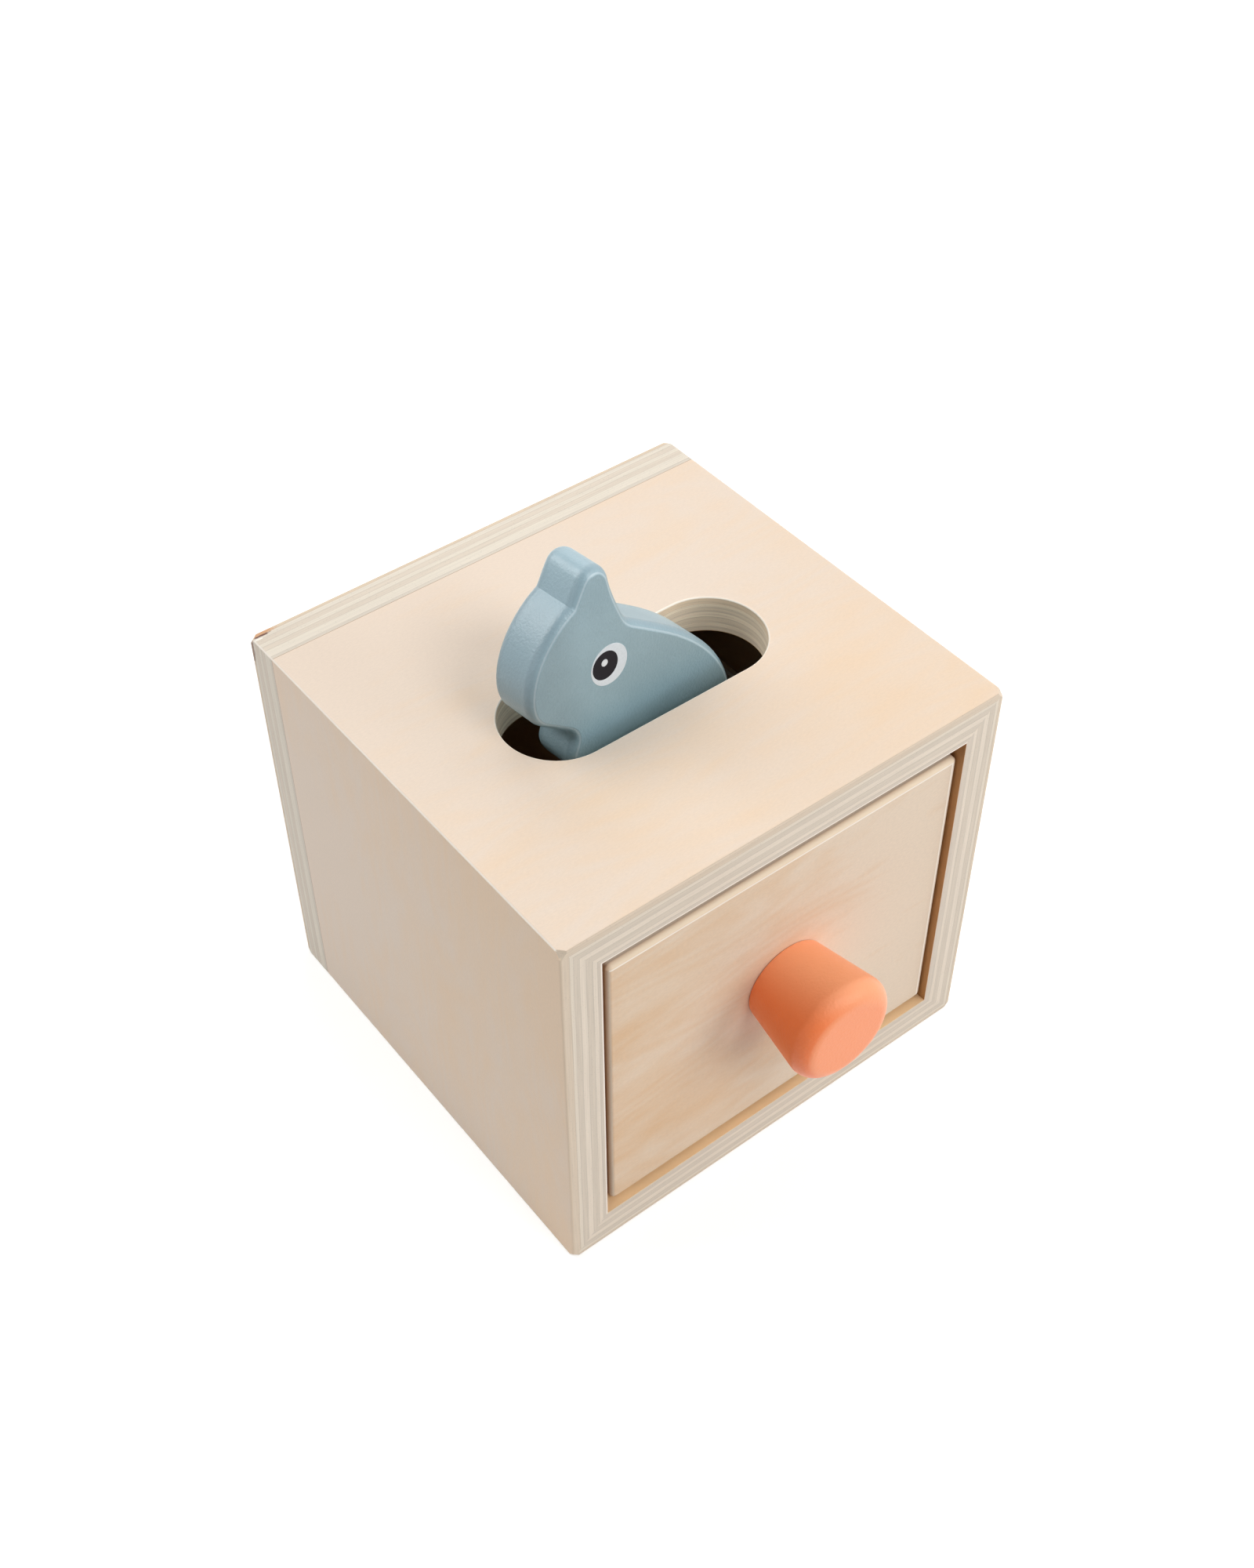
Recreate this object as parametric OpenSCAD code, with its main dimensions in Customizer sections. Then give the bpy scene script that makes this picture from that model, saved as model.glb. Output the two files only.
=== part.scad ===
// Object permanence box: a plywood box with a round-ended slot in its top, a drawer in its
// front, and a wooden animal that is posted through the slot and found again in the drawer.
// Millimetres, +Z up. The drawer opens towards -Y. The origin is the middle of the box's
// underside, on the surface that the box stands on.

/* [Box] */
// Width of the box from side to side
box_width = 120; // [105:1:150]
// Depth of the box from front to back, without the knob
box_depth = 117; // [100:1:150]
// Height of the box
box_height = 110; // [100:1:140]
// Thickness of the plywood that the box is made of
board = 10; // [8:0.5:12]
// Radius of the box's sanded outer edges
edge_round = 0.6; // [0.3:0.1:1.2]
// How much the sanding takes off the box's eight corners, towards its middle
corner_ease = 1.2; // [0.8:0.1:3]

/* [Slot] */
// Room for the animal along the slot
slot_length_play = 6.6; // [4:0.1:12]
// Room for the animal across the slot
slot_width_play = 14.3; // [10:0.1:18]
// Radius of the slot's sanded upper edge
slot_edge_round = 0.4; // [0.2:0.1:1.5]

/* [Drawer] */
// Gap between the drawer and the left side of the box
drawer_left_gap = 2.4; // [0.3:0.1:3]
// Gap between the drawer and the right side of the box
drawer_right_gap = 0.3; // [0.3:0.1:3]
// Gap over the drawer front
drawer_top_gap = 5; // [1:0.5:8]
// Gap under the drawer front
drawer_bottom_gap = 1; // [0.5:0.1:2]
// How far the drawer front lies behind the front of the box
drawer_setback = 1.5; // [0:0.1:3]
// Thickness of the drawer front
front_board = 10; // [8:0.5:12]
// Radius of the drawer front's upright corners
front_corner_round = 1.5; // [1.3:0.1:3]
// Radius of the drawer front's sanded edges
front_edge_round = 1.2; // [0.4:0.1:1.2]
// Thickness of the drawer's sides and back
side_board = 6; // [5:0.5:8]
// Thickness of the drawer's bottom
bottom_board = 4; // [3:0.5:5]
// Height of the drawer's bottom above the lower edges of its sides
bottom_rise = 4; // [3:0.5:8]
// Depth of the grooves that hold the drawer's bottom
groove_depth = 2.5; // [1.5:0.5:3]
// Depth of the rebates in the drawer front that take the sides
rebate_depth = 3; // [2:0.5:4]

/* [Knob] */
// Diameter of the knob where it meets the drawer front
knob_foot_diameter = 21.6; // [17:0.2:26]
// Diameter of the knob at its outer end
knob_end_diameter = 27.2; // [24:0.2:32]
// Length of the knob
knob_length = 21.4; // [20:0.2:30]
// Radius of the knob's outer rim
knob_rim_round = 4.2; // [1:0.2:6]
// Radius of the edge at the knob's foot
knob_foot_round = 0.6; // [0.3:0.1:1.5]
// Height of the knob above the middle of the drawer front
knob_rise = 1.3; // [-5:0.1:5]
// Distance of the knob to the right of the middle of the drawer front
knob_shift = 1; // [-5:0.1:5]

/* [Knob screw] */
// Diameter of the screw
screw_diameter = 4; // [3:0.5:5]
// Diameter of the screw's countersunk head
screw_head_diameter = 8; // [6:0.5:9]
// Length of the screw
screw_length = 22; // [18:1:26]

/* [Animal] */
// Size that the animal's outline is drawn to
animal_size = 60; // [52:1:62]
// Thickness of the animal
animal_thickness = 12.5; // [10:0.5:15]
// Radius of the animal's rounded edges
animal_round = 2; // [1:0.1:2.5]
// Angle that the animal is turned in the slot, seen from above
animal_turn = 4; // [0:0.5:5]
// Angle that the animal leans back in the slot
animal_lean = 4.5; // [0:0.5:6]
// Distance of the animal in front of the middle of the slot
animal_forward = 1.25; // [0:0.05:2]

/* [Hidden] */

$fn = 64;

// Overrun of every cut past the face that it starts on
cut = 1;
// Running gap under the drawer's sides and behind its back
running_gap = 0.3;
// Free height between the drawer's sides and the animal that hangs in the slot
animal_drawer_gap = 4.5;

// Plywood, drawer wood, knob paint, animal paint and screw
ply_colour = "#efdfcb";
drawer_colour = "#ddc8b0";
knob_colour = "#f58a5c";
animal_colour = "#8fa9b3";
screw_colour = "#b4b6ba";

// The four mitred boards reach from the front to the back panel
frame_depth = box_depth - board;
front_y = -box_depth / 2;
opening_width = box_width - 2 * board;
opening_height = box_height - 2 * board;

// Outline of the animal, nose to the left, in shares of animal_size. The level 0 is where it
// passes the top of the box. Each row is a point, the handle that leaves it and the handle
// that reaches the next point, as on a drawing curve.
animal_outline_shares = [
    // Brow and nose
    [[-0.342, 0.567], [-0.453, 0.517], [-0.558, 0.392]],
    [[-0.560, 0.258], [-0.560, 0.197], [-0.538, 0.162]],
    // Underside of the nose, mouth and chin
    [[-0.507, 0.137], [-0.478, 0.115], [-0.448, 0.092]],
    [[-0.420, 0.070], [-0.393, 0.050], [-0.380, 0.033]],
    [[-0.380, 0.007], [-0.380, -0.020], [-0.407, -0.043]],
    [[-0.407, -0.077], [-0.407, -0.115], [-0.365, -0.163]],
    // Belly
    [[-0.340, -0.203], [-0.267, -0.323], [-0.100, -0.433]],
    // Tail
    [[0.067, -0.450], [0.143, -0.457], [0.167, -0.483]],
    [[0.143, -0.560], [0.123, -0.623], [0.153, -0.660]],
    [[0.200, -0.640], [0.243, -0.620], [0.257, -0.560]],
    [[0.320, -0.557], [0.373, -0.553], [0.403, -0.570]],
    [[0.450, -0.537], [0.493, -0.503], [0.477, -0.460]],
    [[0.417, -0.450], [0.343, -0.437], [0.320, -0.410]],
    [[0.343, -0.340], [0.370, -0.263], [0.380, -0.220]],
    // Back
    [[0.373, -0.160], [0.348, 0.007], [0.210, 0.160]],
    [[0.057, 0.273], [0.013, 0.305], [-0.027, 0.335]],
    // Ear
    [[-0.067, 0.363], [-0.090, 0.380], [-0.103, 0.393]],
    [[-0.115, 0.423], [-0.133, 0.470], [-0.157, 0.540]],
    [[-0.165, 0.600], [-0.170, 0.640], [-0.200, 0.675]],
    [[-0.237, 0.675], [-0.267, 0.675], [-0.283, 0.660]],
    [[-0.298, 0.637], [-0.313, 0.615], [-0.327, 0.590]]
];
// Longest step along the outline, and steps of the round on its edges
animal_step_share = 0.04;
animal_round_steps = 5;

// Point at share t of a stretch of the outline
function curve_point(t, start, leave, reach, end) =
    pow(1 - t, 3) * start + 3 * pow(1 - t, 2) * t * leave + 3 * (1 - t) * t * t * reach + pow(t, 3) * end;

// Closed outline of the animal, and how far it reaches left, right and down
animal_outline = [
    for (i = [0 : len(animal_outline_shares) - 1])
        let (
            row = animal_outline_shares[i],
            next = animal_outline_shares[(i + 1) % len(animal_outline_shares)][0],
            steps = ceil(norm(next - row[0]) / animal_step_share)
        )
            for (k = [0 : steps - 1])
                animal_size * curve_point(k / steps, row[0], row[1], row[2], next)
];
animal_left = -min([for (point = animal_outline) point[0]]);
animal_right = max([for (point = animal_outline) point[0]]);
animal_low = -min([for (point = animal_outline) point[1]]);

// The slot lets the animal through and lies in the middle of the top board
slot_length = animal_left + animal_right + slot_length_play;
slot_width = animal_thickness + slot_width_play;
slot_y = front_y + frame_depth / 2;

// Drawer, whose sides stay lower than the animal that hangs in the slot
drawer_width = opening_width - drawer_left_gap - drawer_right_gap;
drawer_x = (drawer_left_gap - drawer_right_gap) / 2;
drawer_front_y = front_y + drawer_setback;
drawer_rear_y = box_depth / 2 - board - running_gap;
front_height = opening_height - drawer_top_gap - drawer_bottom_gap;
front_low_z = board + drawer_bottom_gap;
side_low_z = board + running_gap;
side_height = box_height - animal_low - animal_drawer_gap - side_low_z;
side_front_y = drawer_front_y + front_board - rebate_depth;
side_length = drawer_rear_y - side_front_y;
inner_width = drawer_width - 2 * side_board;
bottom_low_z = side_low_z + bottom_rise;
bottom_width = inner_width + 2 * groove_depth;
bottom_front_y = drawer_front_y + front_board - groove_depth;
bottom_length = drawer_rear_y - side_board + groove_depth - bottom_front_y;

// Knob and screw, on one axis
knob_x = drawer_x + knob_shift;
knob_z = front_low_z + front_height / 2 + knob_rise;
screw_play = 0.1;
screw_head_depth = (screw_head_diameter - screw_diameter) / 2;
screw_point = screw_diameter * 3 / 4;
screw_recess_width = screw_diameter / 5;
screw_recess_length = screw_diameter * 1.1;
screw_recess_depth = screw_diameter / 4;
screw_in_knob = screw_length - front_board;

// Waste that rounds an upright edge between a face towards +X and a face towards +Y
module upright_waste(length, radius) {
    difference() {
        translate([-radius, -radius, 0])
            cube([radius + cut, radius + cut, length]);
        translate([-radius, -radius, -cut])
            cylinder(r = radius, h = length + 2 * cut);
    }
}

// Waste that rounds an edge along +X between a face towards +Y and a face towards +Z
module edge_waste(length, radius) {
    difference() {
        translate([0, -radius, -radius])
            cube([length, radius + cut, radius + cut]);
        translate([-cut, -radius, -radius])
            rotate([0, 90, 0])
                cylinder(r = radius, h = length + 2 * cut);
    }
}

// Waste that carries such an edge round an upright corner of the given radius
module corner_waste(corner_radius, radius) {
    rotate_extrude(angle = 90)
        translate([corner_radius - radius, -radius])
            difference() {
                square([radius + cut, radius + cut]);
                circle(r = radius);
            }
}

// Waste that rounds the upright corners of a board whose top face lies at level 0
module corners_waste(width, height, thickness, corner_radius) {
    for (side = [-1, 1])
        for (end = [-1, 1])
            scale([side, end, 1])
                translate([width / 2, height / 2, -thickness - cut])
                    upright_waste(thickness + 2 * cut, corner_radius);
}

// Waste that rounds the edge of that top face all the way round
module rim_waste(width, height, corner_radius, radius) {
    for (turn = [0 : 3]) {
        along = turn % 2 == 0 ? width : height;
        across = turn % 2 == 0 ? height : width;
        rotate(90 * turn) {
            translate([-along / 2 + corner_radius, across / 2, 0])
                edge_waste(along - 2 * corner_radius, radius);
            translate([along / 2 - corner_radius, across / 2 - corner_radius, 0])
                corner_waste(corner_radius, radius);
        }
    }
}

// Board with its face at level 0, with round corners and a rounded rim on that face
module rounded_board(width, height, thickness, corner_radius, radius) {
    difference() {
        translate([-width / 2, -height / 2, -thickness])
            cube([width, height, thickness]);
        corners_waste(width, height, thickness, corner_radius);
        rim_waste(width, height, corner_radius, radius);
    }
}

// Stands a board that was drawn flat upright, its face towards -Y at the given place
module stand_up(face_y, middle_z) {
    translate([0, face_y, middle_z])
        rotate([90, 0, 0])
            children();
}

// Keeps what lies inside the ball that the box's eight corners are sanded down to
module with_eased_corners() {
    intersection() {
        children();
        translate([0, 0, box_height / 2])
            sphere(r = norm([box_width, box_depth, box_height]) / 2 - corner_ease, $fn = 256);
    }
}

// One of the four mitred boards: quarter turns from the top, anticlockwise from the front
module frame_board(turn) {
    along = turn % 2 == 0 ? box_width : box_height;
    across = turn % 2 == 0 ? box_height : box_width;
    with_eased_corners()
        stand_up(front_y, box_height / 2)
            difference() {
                rotate(90 * turn)
                    translate([0, across / 2, -frame_depth])
                        linear_extrude(height = frame_depth)
                            polygon([
                                [-along / 2, 0],
                                [-along / 2 + board, -board],
                                [along / 2 - board, -board],
                                [along / 2, 0]
                            ]);
                corners_waste(box_width, box_height, frame_depth, edge_round);
                rim_waste(box_width, box_height, edge_round, edge_round);
            }
}

// Profile of the waste at the slot's upper edge: the slot's wall at 0, the solid to its right
module slot_edge_profile() {
    difference() {
        translate([-cut, -slot_edge_round])
            square([slot_edge_round + cut, slot_edge_round + cut]);
        translate([slot_edge_round, -slot_edge_round])
            circle(r = slot_edge_round);
    }
}

// Round-ended hole through the top, with a rounded upper edge
module slot_hole() {
    reach = (slot_length - slot_width) / 2;
    translate([0, slot_y, box_height - board - cut]) {
        for (end = [-1, 1])
            translate([end * reach, 0, 0])
                cylinder(d = slot_width, h = board + 2 * cut);
        translate([-reach, -slot_width / 2, 0])
            cube([2 * reach, slot_width, board + 2 * cut]);
    }
    translate([0, slot_y, box_height])
        for (turn = [0, 180])
            rotate(turn) {
                translate([-reach, slot_width / 2, 0])
                    rotate([90, 0, 90])
                        linear_extrude(height = 2 * reach)
                            slot_edge_profile();
                translate([reach, 0, 0])
                    rotate(-90)
                        rotate_extrude(angle = 180)
                            translate([slot_width / 2, 0])
                                slot_edge_profile();
            }
}

module top_panel() {
    color(ply_colour)
        difference() {
            frame_board(0);
            slot_hole();
        }
}

module left_panel() {
    color(ply_colour)
        frame_board(1);
}

module bottom_panel() {
    color(ply_colour)
        frame_board(2);
}

module right_panel() {
    color(ply_colour)
        frame_board(3);
}

// Full board behind the four mitred ones, its rounded rim to the rear
module back_panel() {
    color(ply_colour)
        with_eased_corners()
            mirror([0, 1, 0])
                stand_up(front_y, box_height / 2)
                    rounded_board(box_width, box_height, board, edge_round, edge_round);
}

module drawer_front() {
    rear_y = drawer_front_y + front_board;
    color(drawer_colour)
        difference() {
            translate([drawer_x, 0, 0])
                stand_up(drawer_front_y, front_low_z + front_height / 2)
                    rounded_board(drawer_width, front_height, front_board,
                        front_corner_round, front_edge_round);
            // Rebates for the sides, as high as the sides
            for (side = [-1, 1])
                translate([drawer_x + side * (drawer_width - side_board + cut) / 2, side_front_y, side_low_z])
                    translate([-(side_board + cut) / 2, 0, -cut])
                        cube([side_board + cut, rebate_depth + cut, side_height + cut]);
            // Groove for the bottom
            translate([drawer_x - inner_width / 2 - cut, bottom_front_y, bottom_low_z])
                cube([inner_width + 2 * cut, groove_depth + cut, bottom_board]);
            // Countersunk hole for the knob's screw
            translate([knob_x, rear_y, knob_z])
                rotate([90, 0, 0]) {
                    translate([0, 0, -cut])
                        cylinder(d = screw_diameter + 2 * screw_play, h = front_board + 2 * cut);
                    cylinder(d1 = screw_head_diameter, d2 = screw_diameter, h = screw_head_depth);
                }
        }
}

// Side board of the drawer: its groove faces the drawer's middle
module drawer_side(side) {
    color(drawer_colour)
        translate([drawer_x + side * (drawer_width - side_board) / 2, side_front_y, side_low_z])
            difference() {
                translate([-side_board / 2, 0, 0])
                    cube([side_board, side_length, side_height]);
                translate([-side * side_board / 2, -cut, bottom_rise])
                    translate([-groove_depth, 0, 0])
                        cube([2 * groove_depth, side_length + 2 * cut, bottom_board]);
            }
}

module drawer_left_side() {
    drawer_side(-1);
}

module drawer_right_side() {
    drawer_side(1);
}

module drawer_back() {
    color(drawer_colour)
        translate([drawer_x - inner_width / 2, drawer_rear_y - side_board, side_low_z])
            difference() {
                cube([inner_width, side_board, side_height]);
                translate([-cut, -cut, bottom_rise])
                    cube([inner_width + 2 * cut, groove_depth + cut, bottom_board]);
            }
}

module drawer_bottom() {
    color(drawer_colour)
        translate([drawer_x - bottom_width / 2, bottom_front_y, bottom_low_z])
            cube([bottom_width, bottom_length, bottom_board]);
}

// Outline of half the knob: its flared side touches the round foot and the round rim
module knob_profile() {
    foot = knob_foot_diameter / 2;
    rim_x = knob_end_diameter / 2 - knob_rim_round;
    rim_y = knob_length - knob_rim_round;
    dx = foot - rim_x;
    flare = atan2(rim_y, dx) - acos(knob_rim_round / norm([dx, rim_y]));
    outward = [cos(flare), -sin(flare)];
    foot_middle = [foot - knob_foot_round * (1 - sin(flare)) / cos(flare), knob_foot_round];
    rim_middle = [rim_x, rim_y];
    polygon([
        [0, 0],
        [foot_middle[0], 0],
        foot_middle + knob_foot_round * outward,
        rim_middle + knob_rim_round * outward,
        [rim_x, knob_length],
        [0, knob_length]
    ]);
    translate(foot_middle)
        circle(r = knob_foot_round);
    translate(rim_middle)
        circle(r = knob_rim_round);
}

module knob() {
    color(knob_colour)
        translate([knob_x, drawer_front_y, knob_z])
            rotate([90, 0, 0])
                difference() {
                    rotate_extrude()
                        knob_profile();
                    translate([0, 0, -cut])
                        cylinder(d = screw_diameter, h = screw_in_knob + cut);
                }
}

// Countersunk wood screw, its head flush with the inside of the drawer front
module knob_screw() {
    color(screw_colour)
        translate([knob_x, drawer_front_y + front_board, knob_z])
            rotate([90, 0, 0])
                difference() {
                    union() {
                        cylinder(d1 = screw_head_diameter, d2 = screw_diameter, h = screw_head_depth);
                        cylinder(d = screw_diameter, h = screw_length - screw_point);
                        translate([0, 0, screw_length - screw_point])
                            cylinder(d1 = screw_diameter, d2 = screw_diameter / 4, h = screw_point);
                    }
                    for (turn = [0, 90])
                        rotate(turn)
                            translate([-screw_recess_length / 2, -screw_recess_width / 2, -cut])
                                cube([screw_recess_length, screw_recess_width, screw_recess_depth + cut]);
                }
}

// Direction from one point to the next, as a vector of length 1
function direction(start, end) = (end - start) / norm(end - start);

// Step inwards at a corner of an anticlockwise outline, for sides that move in by 1
function step_in(before, after) =
    [-before[1] - after[1], before[0] + after[0]] / (1 + before * after);

// Anticlockwise outline with its sides moved in by a distance
function moved_in(outline, distance) = [
    for (i = [0 : len(outline) - 1])
        let (
            point = outline[i],
            before = direction(outline[(i + len(outline) - 1) % len(outline)], point),
            after = direction(point, outline[(i + 1) % len(outline)])
        )
            point + distance * step_in(before, after)
];

// Twice the area of a triangle, above zero where its corners run anticlockwise
function turn(a, b, c) = cross(b - a, c - a);

// Whether the corner after place i can be cut off a loop without crossing its other points
function is_ear(points, loop, i) =
    let (
        count = len(loop),
        a = points[loop[i]],
        b = points[loop[(i + 1) % count]],
        c = points[loop[(i + 2) % count]]
    )
        turn(a, b, c) > 0 && len([
            for (k = [3 : count - 1])
                let (point = points[loop[(i + k) % count]])
                    if (turn(a, b, point) >= 0 && turn(b, c, point) >= 0 && turn(c, a, point) >= 0)
                        point
        ]) == 0;

// First place from i on where a corner can be cut off
function first_ear(points, loop, i = 0) =
    is_ear(points, loop, i) ? i : first_ear(points, loop, i + 1);

// Flat anticlockwise loop of points cut into triangles, one corner at a time
function triangles(points, loop) =
    len(loop) == 3 ? [loop] :
        let (count = len(loop), i = first_ear(points, loop), corner = (i + 1) % count)
            concat(
                [[loop[i], loop[corner], loop[(i + 2) % count]]],
                triangles(points, [for (k = [0 : count - 1]) if (k != corner) loop[k]])
            );

// Plate of an outline, as a loft of rings that round both of its edges
module rounded_plate(outline, thickness, radius, steps) {
    count = len(outline);
    angles = [for (k = [0 : steps]) 90 * k / steps];
    insets = [for (angle = angles) radius * (1 - sin(angle))];
    levels = [for (angle = angles) radius * (1 - cos(angle))];
    rings = concat(
        [for (k = [0 : steps]) [insets[k], levels[k]]],
        [for (k = [steps : -1 : 0]) [insets[k], thickness - levels[k]]]
    );
    cap = triangles(moved_in(outline, radius), [for (j = [0 : count - 1]) j]);
    last = (len(rings) - 1) * count;
    polyhedron(
        points = [
            for (ring = rings)
                for (point = moved_in(outline, ring[0]))
                    [point[0], point[1], ring[1]]
        ],
        faces = concat(
            cap,
            [
                for (i = [0 : len(rings) - 2])
                    for (j = [0 : count - 1])
                        let (a = i * count + j, b = i * count + (j + 1) % count)
                            each [[a, a + count, b + count], [a, b + count, b]]
            ],
            [for (corners = cap) [last + corners[2], last + corners[1], last + corners[0]]]
        )
    );
}

// Flat wooden animal with rounded edges, stood in the slot with its near face in front
module animal_figure() {
    near_y = slot_y - animal_thickness / 2 - animal_forward;
    color(animal_colour)
        translate([0, near_y, box_height])
            rotate([-animal_lean, 0, animal_turn])
                rotate([90, 0, 0])
                    translate([0, 0, -animal_thickness])
                        rounded_plate(animal_outline, animal_thickness, animal_round, animal_round_steps);
}

top_panel();
bottom_panel();
left_panel();
right_panel();
back_panel();
drawer_front();
drawer_left_side();
drawer_right_side();
drawer_back();
drawer_bottom();
knob();
knob_screw();
animal_figure();
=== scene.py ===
import math

import bpy
from mathutils import Euler, Matrix, Vector


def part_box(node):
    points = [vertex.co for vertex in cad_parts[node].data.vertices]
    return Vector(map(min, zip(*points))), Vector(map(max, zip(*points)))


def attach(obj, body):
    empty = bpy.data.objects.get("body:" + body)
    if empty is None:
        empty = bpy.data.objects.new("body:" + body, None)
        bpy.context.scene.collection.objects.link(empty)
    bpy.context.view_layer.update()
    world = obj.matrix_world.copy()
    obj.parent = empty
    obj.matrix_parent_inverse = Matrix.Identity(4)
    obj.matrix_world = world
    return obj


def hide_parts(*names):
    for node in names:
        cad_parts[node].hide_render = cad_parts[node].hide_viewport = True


bl_info = {
    "name": "Object Permanence Box",
    "version": (1, 0, 0),
    "blender": (4, 5, 0),
    "location": "3D View > Sidebar > Permanence Box",
    "description": "Dresses the plywood box, and makes its turned knob and its painted animal",
    "category": "Add Mesh",
}

MM = 0.001

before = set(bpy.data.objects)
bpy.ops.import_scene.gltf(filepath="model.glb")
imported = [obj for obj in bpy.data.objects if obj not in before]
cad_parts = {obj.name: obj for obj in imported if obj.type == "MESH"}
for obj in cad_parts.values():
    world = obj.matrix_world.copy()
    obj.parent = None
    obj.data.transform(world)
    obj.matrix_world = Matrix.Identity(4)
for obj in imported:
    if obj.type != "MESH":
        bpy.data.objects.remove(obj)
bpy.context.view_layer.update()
BOX_LOW, BOX_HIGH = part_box("back_panel")
BOX_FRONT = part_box("top_panel")[0].y
FRONT_LOW, FRONT_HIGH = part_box("drawer_front")
KNOB_LOW, KNOB_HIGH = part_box("knob")
BOARD = BOX_HIGH.y - BOX_LOW.y
FRAME_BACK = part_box("top_panel")[1].y
# Thickness of the drawer's boards and of its bottom
DRAWER_BOARD, DRAWER_FLOOR = 6 * MM, 4 * MM
# The slot's length and width in mm
SLOT_LENGTH, SLOT_WIDTH = 68.5, 26.8

# Settings that many nodes share
SMOOTH = {"interpolation_type": "SMOOTHSTEP"}
COLOUR = {"data_type": "RGBA"}
# Noise seldom leaves this range
NOISE_LOW, NOISE_HIGH = 0.3, 0.7

# Into how many steps the rounds and circles are divided
FOOT_STEPS, RIM_STEPS, KNOB_SIDES = 5, 16, 96
EDGE_RINGS, EYE_SIDES = 10, 64

# Growth rings within the swell's whole height, in radians
RING_TURNS = 80.0
# How the veneer's warmth is made up of its growth rings, its clouds and its patches
WARM_START, RING_SHARE, CLOUD_SHARE, PATCH_SHARE = -1.26, 0.09, 1.95, 1.0
# Steps in mm from one board to the next on the sheet: along its fibres, across them and through it
SHEET_STEPS = (37, 23, 11)
# Edges in mm: how far the plies wave, half of a glue line, and where a ply's own colour starts
PLY_WAVE, GLUE_HALF, PLY_RIM = 0.35, 0.04, 0.14
# Brightness of a glue line beside its darker ply
GLUE_SHADE = 0.91
# How much paler the slot's wall is painted than the boards' edges, in red, green and blue: painted
# light down in the slot
SLOT_WALL_GAIN = (1.32, 1.25, 1.15)
# Depths in mm where a face's and the doorway's colour start to fade, and where they end. Deeper in,
# the inner faces take the darker inside colour: painted shade within the box
SKIN_FULL, SKIN_END = 0.03, 0.2
DOORWAY_FULL, DOORWAY_END = 3.0, 12.0
# Drawer front in mm: its crisp line from the border, a painted highlight, and the depth where its
# ends turn brown with painted shade
CRISP_LINE, BROWN_END = 1.3, 1.7


def linear(code):
    """Linear colour with alpha 1 from an sRGB hex value."""
    values = [int(code[i:i + 2], 16) / 255 for i in (1, 3, 5)]
    return [v / 12.92 if v <= 0.04045 else ((v + 0.055) / 1.055) ** 2.4 for v in values] + [1.0]


def add(tree, kind, settings=None, inputs=None, out=0):
    """Adds a node, sets it up, links or fills its inputs, and gives back one of its outputs.

    The settings of a maths node may be the name of its operation. An input goes by its name or by
    its place in the node's list.
    """
    node = tree.nodes.new("ShaderNode" + kind)
    if isinstance(settings, str):
        settings = {"operation": settings}
    for key, value in (settings or {}).items():
        if key == "stops":
            ramp = node.color_ramp.elements
            while len(ramp) < len(value):
                ramp.new(0.5)
            for element, (place, colour) in zip(ramp, value):
                element.position = place
                element.color = colour
        else:
            setattr(node, key, value)
    for socket, value in (inputs or {}).items():
        if isinstance(value, bpy.types.NodeSocket):
            tree.links.new(value, node.inputs[socket])
        else:
            node.inputs[socket].default_value = value
    return node.outputs[out] if node.outputs else node


def new_material(name):
    """Empty node material and its tree."""
    material = bpy.data.materials.new(name)
    material.use_nodes = True
    material.node_tree.nodes.clear()
    return material, material.node_tree


# Plies of the box's boards from the outer face inwards: start in mm, and colour
BOX_PLIES = [
    (0.0, "#DBCAB5"), (1.3, "#E4D8C7"), (2.3, "#D8CBBA"), (3.7, "#E6D9C8"),
    (5.3, "#D9CCBB"), (6.9, "#E5D8C7"), (8.1, "#D7CABA"),
]
# The back board's edge is warmer at its outer face and has a wide pale ply at the joint
BACK_PLIES = [
    (0.0, "#DDCAB2"), (1.2, "#E4DACB"), (2.5, "#DFD2C1"), (3.9, "#E4DACA"),
    (5.2, "#DED1C0"), (6.6, "#E6DCCC"), (9.0, "#DACFC0"),
]
# The drawer's thinner boards
THIN_PLIES = [
    (0.0, "#D9C3AA"), (1.2, "#E9DDCC"), (2.4, "#D3C0AB"), (3.6, "#E9DDCC"), (4.8, "#D9C3AA"),
]
BOTTOM_PLIES = [(0.0, "#D9C3AA"), (1.3, "#D3C0AB"), (2.7, "#D9C3AA")]


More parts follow.
